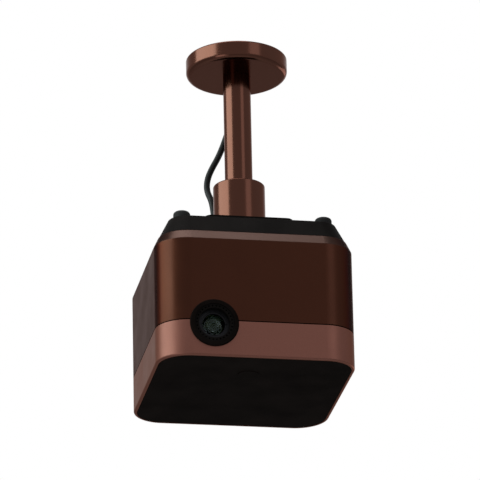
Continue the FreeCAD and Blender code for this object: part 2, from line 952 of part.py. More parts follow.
def make_optics_tube():
    front_flange = flange_disc(optics_flange_radius, bezel_rear_y, bezel_rear_y + tube_flange_thickness)
    rear_flange = flange_disc(rear_flange_radius, sink_y - tube_flange_thickness, sink_y)
    barrel = along_axis(optics_tube_radius, bezel_rear_y, sink_y)
    tube = fuse_all([front_flange, barrel, rear_flange])
    guide_end = bezel_rear_y + tube_flange_thickness
    tube = tube.cut(along_axis(cell_radius + running_clearance, bezel_rear_y - overcut, guide_end + overcut))
    tube = tube.cut(along_axis(optics_throat_radius, guide_end, slide_holder_y))
    tube = tube.cut(along_axis(optics_bore_radius, slide_holder_y, sink_y + overcut))
    for x, level in optics_screw_places(front_screws_start_degrees):
        tube = tube.cut(along_axis(optics_screw_radius, bezel_rear_y - overcut, guide_end, x, level))
    for x, level in optics_screw_places(rear_screws_start_degrees):
        near = sink_y - tube_flange_thickness
        tube = tube.cut(along_axis(optics_screw_radius, near, sink_y + overcut, x, level))
    wire_top = lens_level + optics_tube_radius + overcut
    wire_hole = upright(wire_radius + slip_clearance, lens_level, wire_top, lens_x, led_wire_y())
    return tube.cut(wire_hole)


def optics_screw(x, level, seat_y, direction):
    """Small pan-head screw, its head behind seat_y and its shank along direction."""
    seat = V(x, seat_y, level)
    head = Part.makeCylinder(optics_screw_head_radius, optics_screw_head_height, seat, direction * -1)
    shank = Part.makeCylinder(optics_screw_radius, optics_screw_length, seat, direction)
    return fuse_all([head, shank])


def make_optics_screws():
    screws = []
    for x, level in optics_screw_places(front_screws_start_degrees):
        screws.append(optics_screw(x, level, bezel_rear_y + tube_flange_thickness, FRONT))
    for x, level in optics_screw_places(rear_screws_start_degrees):
        screws.append(optics_screw(x, level, sink_y - tube_flange_thickness, BACK))
    return Part.Compound(screws)


def slide_radius():
    """Radius of the slide, inside its holder's rim."""
    return optics_bore_radius - running_clearance - slide_seat_rim


def slide_seat_y():
    """Plane in the holder where the slide lies."""
    return spacer_y - slide_thickness - slide_retainer_thickness


def make_slide_holder():
    outer = optics_bore_radius - running_clearance
    holder = axis_ring(outer, slide_aperture_radius, slide_holder_y, spacer_y)
    return holder.cut(along_axis(slide_radius(), slide_seat_y(), spacer_y + overcut))


def make_picture_slide():
    return along_axis(slide_radius(), slide_seat_y(), slide_seat_y() + slide_thickness)


def make_slide_retainer():
    near = slide_seat_y() + slide_thickness
    return axis_ring(slide_radius(), slide_aperture_radius, near, spacer_y)


def make_lens_spacer():
    outer = optics_bore_radius - running_clearance
    return axis_ring(outer, outer - ring_wall, spacer_y, spacer_y + spacer_length)


def make_condenser_lens():
    outer = optics_bore_radius - running_clearance
    near = spacer_y + spacer_length
    inner = outer - ring_wall
    rim = along_axis(outer, near, condenser_y)
    sag = condenser_curve_radius - math.sqrt(condenser_curve_radius**2 - inner**2)
    ball_y = near - sag + condenser_curve_radius
    ball = Part.makeSphere(condenser_curve_radius, V(lens_x, ball_y, lens_level))
    dome = along_axis(inner, near - sag - overcut, condenser_y).common(ball)
    return fuse_all([rim, dome])


def make_condenser_retainer():
    outer = optics_bore_radius - running_clearance
    return axis_ring(outer, outer - ring_wall, condenser_y, condenser_y + retainer_thickness)


def make_led_board():
    return along_axis(led_board_radius, sink_y - led_board_thickness, sink_y)


def make_led_emitter():
    far = sink_y - led_board_thickness
    near = far - led_base_thickness
    half = led_base_size / 2
    base = block(lens_x - half, lens_x + half, near, far, lens_level - half, lens_level + half)
    ball = Part.makeSphere(led_dome_radius, V(lens_x, near, lens_level))
    dome = ball.common(along_axis(led_dome_radius + overcut, near - led_dome_radius - overcut, near))
    return fuse_all([base, dome])


# Cooling

def make_heat_sink():
    low = floor_level
    high = floor_level + sink_height
    left = lens_x - sink_width / 2
    right = lens_x + sink_width / 2
    fin_y = sink_y + sink_base_thickness
    solids = [block(left, right, sink_y, fin_y, low, high)]
    pitch = (sink_width - fin_thickness) / (fin_count - 1)
    for index in range(fin_count):
        x = left + index * pitch
        solids.append(block(x, x + fin_thickness, fin_y, fin_y + fin_length, low, high))
    sink = fuse_all(solids)
    for x, level in optics_screw_places(rear_screws_start_degrees):
        end = sink_y - tube_flange_thickness + optics_screw_length
        sink = sink.cut(along_axis(optics_screw_radius, sink_y - overcut, end, x, level))
    return sink


def fan_screw_shank(x, level):
    """Shank of one fan screw, through the fan and into the grille."""
    return along_axis(fan_screw_radius, fan_front_y, grille_plate_y, x, level)


def fan_seat_y():
    """Front of the disc that carries the fan's pin."""
    return grille_inner_y - fan_seat_thickness


def make_fan_frame():
    half = fan_size / 2
    frame = block(
        fan_x - half, fan_x + half, fan_front_y, grille_inner_y, grille_level - half, grille_level + half
    )
    bore = along_axis(fan_bore_radius, fan_front_y - overcut, grille_inner_y + overcut, fan_x, grille_level)
    frame = frame.cut(bore)
    for x, level in fan_places():
        hole = along_axis(fan_hole_radius, fan_front_y - overcut, grille_inner_y + overcut, x, level)
        frame = frame.cut(hole)
    seat = along_axis(fan_seat_radius, fan_seat_y(), grille_inner_y, fan_x, grille_level)
    pin = along_axis(fan_pin_radius, fan_seat_y() - fan_pin_length, fan_seat_y(), fan_x, grille_level)
    added = [frame, seat, pin]
    half_strut = fan_strut_width / 2
    strut_end = fan_bore_radius + fan_strut_bite
    for degrees in around(fan_strut_count, fan_struts_start_degrees):
        strut = block(0, strut_end, fan_seat_y(), grille_inner_y, -half_strut, half_strut)
        strut.rotate(V(0, 0, 0), BACK, degrees)
        strut.translate(V(fan_x, 0, grille_level))
        added.append(strut)
    return fuse_all(added)


def make_fan_rotor():
    far = fan_seat_y() - seat_clearance
    near = far - fan_hub_length
    hub = along_axis(fan_hub_radius, near, far, fan_x, grille_level)
    tip = fan_bore_radius - fan_tip_clearance
    sweep = along_axis(tip, near, far, fan_x, grille_level)
    added = [hub]
    for degrees in around(fan_blade_count):
        blade = block(
            fan_hub_radius - overcut, tip, -fan_hub_length, fan_hub_length,
            -fan_blade_thickness / 2, fan_blade_thickness / 2,
        )
        blade.rotate(V(0, 0, 0), V(1, 0, 0), fan_blade_pitch_degrees)
        blade.rotate(V(0, 0, 0), BACK, degrees)
        blade.translate(V(fan_x, (near + far) / 2, grille_level))
        added.append(blade.common(sweep))
    rotor = fuse_all(added)
    bore_end = fan_seat_y() - fan_pin_length - seat_clearance
    bore_radius = fan_pin_radius + running_clearance
    return rotor.cut(along_axis(bore_radius, bore_end, far + overcut, fan_x, grille_level))


def make_fan_screws():
    screws = []
    for x, level in fan_places():
        head = along_axis(fan_screw_head_radius, fan_front_y - fan_screw_head_height, fan_front_y, x, level)
        screws.append(fuse_all([head, fan_screw_shank(x, level)]))
    return Part.Compound(screws)


# Driver board

def board_screw_shank(x, y):
    """Shank of one board screw, up into its standoff."""
    head_seat = board_level - board_thickness
    return upright(board_screw_radius, head_seat, head_seat + board_screw_length, x, y)


def make_driver_board():
    board = middle_block(0, 0, board_width, board_depth, board_level - board_thickness, board_level)
    for x, y in board_places():
        board = board.cut(board_screw_shank(x, y))
    return board


def make_board_screws():
    screws = []
    for x, y in board_places():
        seat = board_level - board_thickness
        head = upright(board_screw_head_radius, seat - board_screw_head_height, seat, x, y)
        screws.append(fuse_all([head, board_screw_shank(x, y)]))
    return Part.Compound(screws)


def make_capacitors():
    seat = board_level - board_thickness
    cans = []
    for side in (-1, 0, 1):
        y = side * capacitor_spacing
        cans.append(upright(capacitor_radius, seat - capacitor_height, seat, board_part_x, y))
    return Part.Compound(cans)


def make_power_coil():
    return middle_block(0, -capacitor_spacing, coil_size, coil_size, board_level, board_level + coil_height)


def make_driver_chip():
    top = board_level + chip_height
    return middle_block(board_part_x, -capacitor_spacing, chip_size, chip_size, board_level, top)


def plug_place():
    """X and Y of the lead's plug on the board."""
    end = lead_point(*lead_route[-1])
    return end.x, end.y


def make_lead_socket():
    x, y = plug_place()
    return middle_block(x, y, socket_width, socket_depth, board_level, board_level + socket_height)


def make_lead_plug():
    x, y = plug_place()
    low = board_level + socket_height
    return middle_block(x, y, plug_width, plug_depth, low, low + plug_height)


# Inner wiring

def led_wire_y():
    """Y of the wire that drops to the LED board."""
    return sink_y - led_board_thickness - led_wire_gap


def led_terminal_top():
    """Level of the LED terminal's top face."""
    return lens_level + led_terminal_lift + terminal_size


def fan_wire_level():
    """Level of the wire that runs back to the fan."""
    return grille_level + fan_size / 2 - fan_wire_inset


def switch_wire_place():
    """X and Y of the wire that drops to the switch board."""
    return button_x + switch_wire_x, button_y + switch_wire_y


def terminal(x, y, low):
    """Small terminal block standing on a level."""
    return middle_block(x, y, terminal_size, terminal_size, low, low + terminal_size)


def make_wire_terminals():
    half = terminal_size / 2
    under_board = board_level - board_thickness
    switch_top = switch_board_level + switch_board_thickness
    switch_x, switch_y = switch_wire_place()
    rear = board_depth / 2
    led_far = sink_y - led_board_thickness
    led_near = led_wire_y() - led_wire_gap
    led_low = led_terminal_top() - terminal_size
    fan_low = fan_wire_level() - terminal_size / 2
    return Part.Compound([
        terminal(lens_x, led_wire_y(), under_board - terminal_size),
        block(lens_x - half, lens_x + half, led_near, led_far, led_low, led_terminal_top()),
        block(fan_x - half, fan_x + half, rear - terminal_size, rear, fan_low, under_board),
        terminal(switch_x, switch_y, under_board - terminal_size),
        terminal(switch_x, switch_y, switch_top),
    ])


def make_inner_wires():
    drop_top = board_level - board_thickness - terminal_size
    switch_x, switch_y = switch_wire_place()
    switch_low = switch_board_level + switch_board_thickness + terminal_size
    return Part.Compound([
        upright(wire_radius, led_terminal_top(), drop_top, lens_x, led_wire_y()),
        along_axis(wire_radius, board_depth / 2, fan_front_y, fan_x, fan_wire_level()),
        upright(wire_radius, switch_low, drop_top, switch_x, switch_y),
    ])


# Power button

def button_top_level():
    """Level where the button's stem meets the switch plunger."""
    return switch_board_level - switch_body_height - plunger_exposed


def make_power_button():
    cap = upright(button_radius, bottom_level - button_proud, floor_level, button_x, button_y)
    cap = cap.makeFillet(button_proud, level_edges(cap, bottom_level - button_proud))
    flange_low = floor_level + running_clearance
    flange = upright(
        button_radius + button_flange, flange_low, flange_low + button_flange_thickness, button_x, button_y
    )
    neck = upright(button_radius, floor_level, flange_low, button_x, button_y)
    stem = upright(button_stem_radius, flange_low, button_top_level(), button_x, button_y)
    return fuse_all([cap, neck, flange, stem])


def make_switch_plunger():
    low = button_top_level()
    return upright(plunger_radius, low, low + plunger_exposed + plunger_inside, button_x, button_y)


def make_tact_switch():
    low = switch_board_level - switch_body_height
    body = middle_block(button_x, button_y, switch_body_size, switch_body_size, low, switch_board_level)
    room = low + switch_travel_room
    bore = upright(plunger_radius + slip_clearance, low - overcut, room, button_x, button_y)
    return body.cut(bore)


def switch_screw_shank(y):
    """Shank of one switch board screw, down into its boss."""
    top = switch_board_level + switch_board_thickness
    return upright(switch_screw_radius, top - switch_screw_length, top, button_x, y)


def make_switch_board():
    top = switch_board_level + switch_board_thickness
    board = middle_block(
        button_x, button_y, switch_board_width, switch_board_length, switch_board_level, top
    )
    for side in (-1, 1):
        board = board.cut(switch_screw_shank(button_y + side * switch_screw_offset))
    return board


def make_switch_screws():
    screws = []
    for side in (-1, 1):
        y = button_y + side * switch_screw_offset
        top = switch_board_level + switch_board_thickness
        head = upright(switch_screw_head_radius, top, top + switch_screw_head_height, button_x, y)
        screws.append(fuse_all([head, switch_screw_shank(y)]))
    return Part.Compound(screws)


PARTS = {
    "ceiling_plate": make_ceiling_plate,
    "flange_cover": make_flange_cover,
    "stem_tube": make_stem_tube,
    "stem_grommet": make_stem_grommet,
    "lead_connector": make_lead_connector,
    "swivel_plug": make_swivel_plug,
    "plug_pin": make_plug_pin,
    "power_lead": make_power_lead,
    "swivel_collar": make_swivel_collar,
    "friction_washers": make_friction_washers,
    "disc_spring": make_disc_spring,
    "collar_base": make_collar_base,
    "mount_stud": make_mount_stud,
    "base_insert": make_base_insert,
    "base_plinth": make_base_plinth,
    "rubber_feet": make_rubber_feet,
    "case_screws": make_case_screws,
    "lead_relief": make_lead_relief,
    "upper_housing": make_upper_housing,
    "lower_band": make_lower_band,
    "bottom_panel": make_bottom_panel,
    "rear_grille": make_rear_grille,
    "lens_bezel": make_lens_bezel,
    "focus_ring": make_focus_ring,
    "lens_cell": make_lens_cell,
    "front_lens": make_front_lens,
    "rear_lens": make_rear_lens,
    "lens_retainers": make_lens_retainers,
    "optics_tube": make_optics_tube,
    "optics_screws": make_optics_screws,
    "slide_holder": make_slide_holder,
    "picture_slide": make_picture_slide,
    "slide_retainer": make_slide_retainer,
    "lens_spacer": make_lens_spacer,
    "condenser_lens": make_condenser_lens,
    "condenser_retainer": make_condenser_retainer,
    "led_board": make_led_board,
    "led_emitter": make_led_emitter,
    "heat_sink": make_heat_sink,
    "fan_frame": make_fan_frame,
    "fan_rotor": make_fan_rotor,
    "fan_screws": make_fan_screws,
    "driver_board": make_driver_board,
    "board_screws": make_board_screws,
    "capacitors": make_capacitors,
    "power_coil": make_power_coil,
    "driver_chip": make_driver_chip,
    "wire_terminals": make_wire_terminals,
    "inner_wires": make_inner_wires,
    "lead_socket": make_lead_socket,
    "lead_plug": make_lead_plug,
    "power_button": make_power_button,
    "switch_plunger": make_switch_plunger,
    "tact_switch": make_tact_switch,
    "switch_board": make_switch_board,
    "switch_screws": make_switch_screws,
}

os.makedirs("parts", exist_ok=True)
for node, make in PARTS.items():
    shape = make()
    shape.exportStep("parts/%s.step" % node)
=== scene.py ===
import json
import math

import bpy
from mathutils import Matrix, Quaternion, Vector


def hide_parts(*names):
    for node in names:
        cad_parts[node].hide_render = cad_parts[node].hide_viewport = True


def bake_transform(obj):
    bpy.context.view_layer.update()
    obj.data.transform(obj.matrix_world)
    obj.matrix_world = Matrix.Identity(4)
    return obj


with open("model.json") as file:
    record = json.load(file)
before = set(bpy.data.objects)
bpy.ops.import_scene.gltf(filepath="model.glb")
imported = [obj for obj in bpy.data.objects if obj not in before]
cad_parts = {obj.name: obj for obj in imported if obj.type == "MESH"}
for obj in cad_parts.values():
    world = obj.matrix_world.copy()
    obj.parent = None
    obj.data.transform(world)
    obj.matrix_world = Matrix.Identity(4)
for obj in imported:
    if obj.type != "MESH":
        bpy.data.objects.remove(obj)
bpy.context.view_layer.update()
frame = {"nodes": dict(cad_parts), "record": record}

# A projection night light that hangs, feet upwards, from a ceiling flange.
# All sizes are in metres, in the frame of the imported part.

# Camera: the photograph looks up at the light, a little from its left
CAMERA_AZIMUTH = math.radians(-10.2)
CAMERA_ELEVATION = math.radians(-21.7)
CAMERA_ROLL = math.radians(-1.2)
CAMERA_DISTANCE = 2.8
CAMERA_AIM = Vector((0.0, 0.0, -0.1092))
VIEW_HALF_WIDTH = 0.1338
SENSOR_MM = 36.0

# Floor and studio light
FLOOR_LEVEL = -1.5
FLOOR_RADIUS = 8.0
FLOOR_SIDES = 96
FLOOR_TONE = 0.85
FLOOR_MOTTLE = 0.02
FLOOR_GRAIN = 0.4
FLOOR_ROUGHNESS = 0.9
AMBIENT_STRENGTH = 0.7
WHITE = (1.0, 1.0, 1.0, 1.0)
SIDE_TINT = (0.82, 1.0, 0.97)

# Power lead: the route's points are (distance from the stem's axis, height), in one upright plane
LEAD_DIAMETER = 0.0035
LEAD_PLANE = math.radians(55.0)
LEAD_ROUTE = [
    (-0.0016, -0.0090),
    (-0.0016, -0.0245),
    (0.0073, -0.0408),
    (0.0146, -0.0533),
    (0.0224, -0.0609),
    (0.0254, -0.0664),
    (0.0254, -0.0725),
    (0.0217, -0.0794),
    (0.0201, -0.0892),
    (0.0192, -0.0990),
    (0.01895, -0.1076),
    (0.0189, -0.1160),
    (0.0189, -0.1240),
]
LEAD_SIDES = 24
LEAD_STEPS = 10

# Grain sizes of the finishes
FLAKE = 0.0002
ORANGE_PEEL = 0.0012
SMUDGE = 0.018
MOULD_GRAIN = 0.0003
BRUSH_GRAIN = 0.00015
BOARD_TRACK = 0.0016
SLIDE_PATCH = 0.006

# Depths of the finishes' relief
PEEL_DEPTH = 0.000002
SATIN_DEPTH = 0.000003
BRUSH_DEPTH = 0.000004
SHEATH_DEPTH = 0.000005
MOULD_DEPTH = 0.00001
COARSE_DEPTH = 0.00003

# Least and most of a finish's shade and roughness, as shares of its own colour and roughness
FLAKE_SHADES = (0.94, 1.06)
MOULD_SHADES = (0.75, 1.3)
BRUSH_SHADES = (0.88, 1.1)
LACQUER_GLOSS = (0.88, 1.12)
MOULD_GLOSS = (0.9, 1.1)
BRUSH_GLOSS = (0.8, 1.25)

# The clear coat's roughness, as a share of the lacquer's
COAT_GLOSS = 0.7

# Brushed lines run this many times longer than they are wide
BRUSH_LENGTH = 40.0
BRUSHED_UPRIGHT = (1.0, 1.0, 1.0 / BRUSH_LENGTH)
BRUSHED_IN_DEPTH = (1.0, 1.0 / BRUSH_LENGTH, 1.0)

# Most values of a noise lie between these
NOISE_LOW = 0.3
NOISE_HIGH = 0.7

# The housing's sloped top edge, from its foot up, where a painted highlight lightens the lacquer
SLOPE_LEVEL = -0.1315
SLOPE_BLEND = 0.0003

# Numbers of the Mix node's colour sockets, whose names it uses more than once
MIX_FIRST = 6
MIX_SECOND = 7
MIX_RESULT = 2


# Shader helpers

def new_material(name):
    """New material and its main shader."""
    material = bpy.data.materials.new(name)
    material.use_nodes = True
    return material, material.node_tree.nodes["Principled BSDF"]


def add(material, kind):
    """New node of a material."""
    return material.node_tree.nodes.new(kind)


def join(material, output, target):
    """Link between two sockets."""
    material.node_tree.links.new(output, target)


def place(material, texture, stretch=(1.0, 1.0, 1.0)):
    """Gives a texture the object's own coordinates, drawn out along an axis where stretch is under 1."""
    coordinates = add(material, "ShaderNodeTexCoord")
    mapping = add(material, "ShaderNodeMapping")
    mapping.inputs["Scale"].default_value = stretch
    join(material, coordinates.outputs["Object"], mapping.inputs["Vector"])
    join(material, mapping.outputs["Vector"], texture.inputs["Vector"])


def noise(material, grain, detail=3.0, stretch=(1.0, 1.0, 1.0)):
    """Soft noise with grains of about the given size."""
    texture = add(material, "ShaderNodeTexNoise")
    texture.inputs["Scale"].default_value = 1.0 / grain
    texture.inputs["Detail"].default_value = detail
    place(material, texture, stretch)
    return texture.outputs["Fac"]


def cells(material, grain):
    """One random shade for each cell of about the given size."""
    texture = add(material, "ShaderNodeTexVoronoi")
    texture.inputs["Scale"].default_value = 1.0 / grain
    place(material, texture)
    return texture.outputs["Color"]


def cell_edges(material, grain):
    """Distance to the nearest edge between cells of about the given size."""
    texture = add(material, "ShaderNodeTexVoronoi")
    texture.feature = "DISTANCE_TO_EDGE"
    texture.inputs["Scale"].default_value = 1.0 / grain
    place(material, texture)
    return texture.outputs["Distance"]


def above(material, level, blend):
    """Factor that goes from 0 under a level to 1 over it."""
    coordinates = add(material, "ShaderNodeTexCoord")
    axes = add(material, "ShaderNodeSeparateXYZ")
    join(material, coordinates.outputs["Object"], axes.inputs["Vector"])
    made = add(material, "ShaderNodeMapRange")
    made.inputs["From Min"].default_value = level - blend
    made.inputs["From Max"].default_value = level + blend
    join(material, axes.outputs["Z"], made.inputs["Value"])
    return made.outputs["Result"]


def ramp(material, factor, stops):
    """Colour that follows a factor through (position, colour) stops."""
    made = add(material, "ShaderNodeValToRGB")
    elements = made.color_ramp.elements
    while len(elements) < len(stops):
        elements.new(1.0)
    for element, (position, colour) in zip(elements, stops):
        element.position = position
        element.color = (*colour, 1.0)
    join(material, factor, made.inputs["Fac"])
    return made.outputs["Color"]


def two_tones(material, factor, dark, light):
    """Colour that goes from dark to light over a noise's middle range."""
    return ramp(material, factor, [(NOISE_LOW, dark), (NOISE_HIGH, light)])


def paint(material, shader, colour):
    """Uses a colour output as the base colour."""
    join(material, colour, shader.inputs["Base Color"])


def roughen(material, shader, factor, low, high):
    """Roughness that goes from low to high over a noise's middle range."""
    made = add(material, "ShaderNodeMapRange")
    made.inputs["From Min"].default_value = NOISE_LOW
    made.inputs["From Max"].default_value = NOISE_HIGH
    made.inputs["To Min"].default_value = low
    made.inputs["To Max"].default_value = high
    join(material, factor, made.inputs["Value"])
    join(material, made.outputs["Result"], shader.inputs["Roughness"])


def bump(material, shader, height, depth):
    """Relief of the given depth."""
    made = add(material, "ShaderNodeBump")
    made.inputs["Distance"].default_value = depth
    join(material, height, made.inputs["Height"])
    join(material, made.outputs["Normal"], shader.inputs["Normal"])


def tones(colour, shares):
    """Darker and lighter tone of a colour."""
    return [tuple(min(1.0, channel * share) for channel in colour) for share in shares]


def scaled(value, shares):
    """Least and most of a value."""
    return [value * share for share in shares]


# Finishes

def lacquer(name, colour, roughness, edge_tint, coat):
    """Metallic lacquer under a clear coat: fine flakes, a trace of orange peel and uneven gloss."""
    material, shader = new_material(name)
    dark, light = tones(colour, FLAKE_SHADES)
    paint(material, shader, ramp(material, cells(material, FLAKE), [(0.25, dark), (0.75, light)]))
    roughen(material, shader, noise(material, SMUDGE, detail=4.0), *scaled(roughness, LACQUER_GLOSS))
    bump(material, shader, noise(material, ORANGE_PEEL, detail=1.0), PEEL_DEPTH)
    shader.inputs["Metallic"].default_value = 1.0
    shader.inputs["Specular Tint"].default_value = (*edge_tint, 1.0)
    shader.inputs["Coat Weight"].default_value = coat
    shader.inputs["Coat Roughness"].default_value = roughness * COAT_GLOSS
    return material


def bronze_paint():
    """Glossy bronze of the flange, stem and collar."""
    return lacquer(
        "bronze_paint",
        colour=(0.046, 0.0160, 0.0098),
        roughness=0.20,
        edge_tint=(0.60, 0.50, 0.48),
        coat=0.12,
    )


def dark_bronze_case():
    """Dark lacquer of the housing, with a painted highlight: a paler tone on the sloped top edge stands
    in for light reflected there.
    """
    material = lacquer(
        "dark_bronze_case",
        colour=(0.0275, 0.0086, 0.0046),
        roughness=0.34,
        edge_tint=(0.36, 0.28, 0.26),
        coat=0.05,
    )
    shader = material.node_tree.nodes["Principled BSDF"]
    face = shader.inputs["Base Color"].links[0].from_socket
    # Painted highlight: above the slope's foot the lacquer takes a paler, softly mottled tone in place of
    # the light that the sloped edge reflects
    highlight_mottle = noise(material, SMUDGE)
    painted_highlight = two_tones(material, highlight_mottle, (0.026, 0.0165, 0.0140), (0.030, 0.0185, 0.0155))
    mix = add(material, "ShaderNodeMix")
    mix.data_type = "RGBA"
    join(material, above(material, SLOPE_LEVEL, SLOPE_BLEND), mix.inputs["Factor"])
    join(material, face, mix.inputs[MIX_FIRST])
    join(material, painted_highlight, mix.inputs[MIX_SECOND])
    paint(material, shader, mix.outputs[MIX_RESULT])
    return material


def rose_bronze_band():
    """Paler satin bronze of the lower band."""
    return lacquer(
        "rose_bronze_band",
        colour=(0.102, 0.041, 0.031),
        roughness=0.43,
        edge_tint=(0.52, 0.44, 0.41),
        coat=0.08,
    )


def black_moulding(name, colour, roughness, grain, depth, gloss):
    """Black moulding with a fine sparked grain."""
    material, shader = new_material(name)
    mottle = noise(material, SMUDGE)
    paint(material, shader, two_tones(material, mottle, *tones(colour, MOULD_SHADES)))
    fine = noise(material, grain, detail=2.0)
    roughen(material, shader, fine, *scaled(roughness, MOULD_GLOSS))
    bump(material, shader, fine, depth)
    shader.inputs["Specular IOR Level"].default_value = gloss
    return material


def gloss_black():
    """Smooth black of the bottom panel, the button and the lens bezel."""
    return black_moulding(
        "gloss_black",
        colour=(0.0036, 0.0027, 0.0024),
        roughness=0.34,
        grain=MOULD_GRAIN * 2,
        depth=SATIN_DEPTH,
        gloss=0.0006,
    )


def black_plastic():
    """Black moulded plastic."""
    return black_moulding(
        "black_plastic",
        colour=(0.0034, 0.0028, 0.0026),
        roughness=0.48,
        grain=MOULD_GRAIN,
        depth=MOULD_DEPTH,
        gloss=0.007,
    )


def black_rubber():
    """Dull black rubber."""
    return black_moulding(
        "black_rubber",
        colour=(0.008, 0.008, 0.008),
        roughness=0.72,
        grain=MOULD_GRAIN / 2,
        depth=MOULD_DEPTH,
        gloss=0.06,
    )


def lead_sheath():
    """Black sheath of the power lead and the inner wires."""
    return black_moulding(
        "lead_sheath",
        colour=(0.006, 0.006, 0.006),
        roughness=0.42,
        grain=MOULD_GRAIN,
        depth=SHEATH_DEPTH,
        gloss=0.08,
    )


def brushed_metal(name, colour, roughness, stretch):
    """Metal with fine lines along the axis where stretch is small."""
    material, shader = new_material(name)
    lines = noise(material, BRUSH_GRAIN, detail=2.0, stretch=stretch)
    paint(material, shader, two_tones(material, lines, *tones(colour, BRUSH_SHADES)))
    roughen(material, shader, lines, *scaled(roughness, BRUSH_GLOSS))
    bump(material, shader, lines, BRUSH_DEPTH)
    shader.inputs["Metallic"].default_value = 1.0
    return material


def steel():
    """Dull plated steel."""
    return brushed_metal("steel", colour=(0.48, 0.48, 0.49), roughness=0.42, stretch=BRUSHED_UPRIGHT)


def brass():
    """Turned brass."""
    return brushed_metal("brass", colour=(0.72, 0.52, 0.22), roughness=0.28, stretch=BRUSHED_UPRIGHT)


def aluminium():
    """Bare aluminium."""
    return brushed_metal("aluminium", colour=(0.72, 0.72, 0.74), roughness=0.36, stretch=BRUSHED_IN_DEPTH)


def black_anodised():
    """Black anodised aluminium."""
    return brushed_metal(
        "black_anodised",
        colour=(0.009, 0.009, 0.010),
        roughness=0.40,
        stretch=BRUSHED_IN_DEPTH,
    )


def lens_glass():
    """Coated lens glass with a trace of dust."""
    material, shader = new_material("lens_glass")
    dust = noise(material, MOULD_GRAIN, detail=4.0)
    roughen(material, shader, dust, low=0.01, high=0.05)
    tint = noise(material, SMUDGE, detail=1.0)
    paint(material, shader, two_tones(material, tint, (0.50, 0.60, 0.56), (0.56, 0.66, 0.60)))
    shader.inputs["Transmission Weight"].default_value = 1.0
    shader.inputs["IOR"].default_value = 1.52
    shader.inputs["Specular IOR Level"].default_value = 0.1
    shader.inputs["Specular Tint"].default_value = (0.15, 0.18, 0.18, 1.0)
    return material


def circuit_board():
    """Green solder mask over copper tracks."""
    material, shader = new_material("circuit_board")
    tracks = cell_edges(material, BOARD_TRACK)
    mask = [(0.04, (0.09, 0.30, 0.13)), (0.07, (0.03, 0.13, 0.06)), (0.3, (0.025, 0.11, 0.05))]
    paint(material, shader, ramp(material, tracks, mask))
    roughen(material, shader, noise(material, SMUDGE), low=0.3, high=0.42)
    bump(material, shader, tracks, COARSE_DEPTH)
    return material


def white_plastic():
    """White nylon with soft mottling and a fine grain."""
    material, shader = new_material("white_plastic")
    mottle = noise(material, SMUDGE)
    paint(material, shader, two_tones(material, mottle, (0.72, 0.72, 0.68), (0.82, 0.82, 0.80)))
    fine = noise(material, MOULD_GRAIN, detail=2.0)
    roughen(material, shader, fine, low=0.38, high=0.5)
    bump(material, shader, fine, MOULD_DEPTH)
    return material


def led_phosphor():
    """Grainy yellow phosphor under a clear dome."""
    material, shader = new_material("led_phosphor")
    grains = cells(material, FLAKE)
    yellows = [(0.2, (0.80, 0.58, 0.10)), (0.8, (0.92, 0.76, 0.24))]
    paint(material, shader, ramp(material, grains, yellows))
    roughen(material, shader, noise(material, MOULD_GRAIN, detail=2.0), low=0.2, high=0.3)
    shader.inputs["Coat Weight"].default_value = 0.6
    return material


def slide_film():
    """Plain slide with drifting patches of warm colour."""
    material, shader = new_material("slide_film")
    drift = noise(material, SLIDE_PATCH, detail=4.0)
    warm = [(0.30, (0.30, 0.20, 0.10)), (0.50, (0.72, 0.52, 0.22)), (0.70, (0.86, 0.80, 0.66))]
    paint(material, shader, ramp(material, drift, warm))
    roughen(material, shader, drift, low=0.15, high=0.3)
    shader.inputs["Transmission Weight"].default_value = 0.4
    return material


def coil_core():
    """Dark grey ferrite with a sintered grain."""
    material, shader = new_material("coil_core")
    grains = noise(material, MOULD_GRAIN, detail=4.0)
    paint(material, shader, two_tones(material, grains, (0.045, 0.045, 0.050), (0.085, 0.085, 0.090)))
    roughen(material, shader, grains, low=0.5, high=0.7)
    bump(material, shader, grains, COARSE_DEPTH)
    return material


FINISHES = {
    "bronze_paint": bronze_paint,
    "dark_bronze_case": dark_bronze_case,
    "rose_bronze_band": rose_bronze_band,
    "gloss_black": gloss_black,
    "black_plastic": black_plastic,
    "black_rubber": black_rubber,
    "lead_sheath": lead_sheath,
    "steel": steel,
    "brass": brass,
    "aluminium": aluminium,
    "black_anodised": black_anodised,
    "lens_glass": lens_glass,
    "circuit_board": circuit_board,
    "white_plastic": white_plastic,
    "led_phosphor": led_phosphor,
    "slide_film": slide_film,
    "coil_core": coil_core,
}


def dress(piece, material):
    """Gives a piece one material all over."""
    piece.data.materials.clear()
    piece.data.materials.append(material)


def dress_nodes(materials):
    """Gives each CAD node the finish of its slot in the record."""
    for subpart in frame["record"]["subparts"]:
        dress(frame["nodes"][subpart["node"]], materials[subpart["material_slot"]])


# Power lead

def lead_point(distance, height):
    """Point of the lead's plane."""
    return Vector((-distance * math.cos(LEAD_PLANE), distance * math.sin(LEAD_PLANE), height))


def lead_line():
    """Points along the smooth line that the route's points control."""
    curve = bpy.data.curves.new("lead_line", "CURVE")
    curve.dimensions = "3D"
    curve.resolution_u = LEAD_STEPS
    spline = curve.splines.new("NURBS")
    spline.points.add(len(LEAD_ROUTE) - 1)
    for point, route_place in zip(spline.points, LEAD_ROUTE):
        point.co = (*lead_point(*route_place), 1.0)
    spline.order_u = 3
    spline.use_endpoint_u = True
    holder = bpy.data.objects.new("lead_line", curve)
    bpy.context.scene.collection.objects.link(holder)
    line = bpy.data.meshes.new_from_object(holder)
    points = [vertex.co.copy() for vertex in line.vertices]
    bpy.data.objects.remove(holder)
    bpy.data.curves.remove(curve)
    bpy.data.meshes.remove(line)
    return points


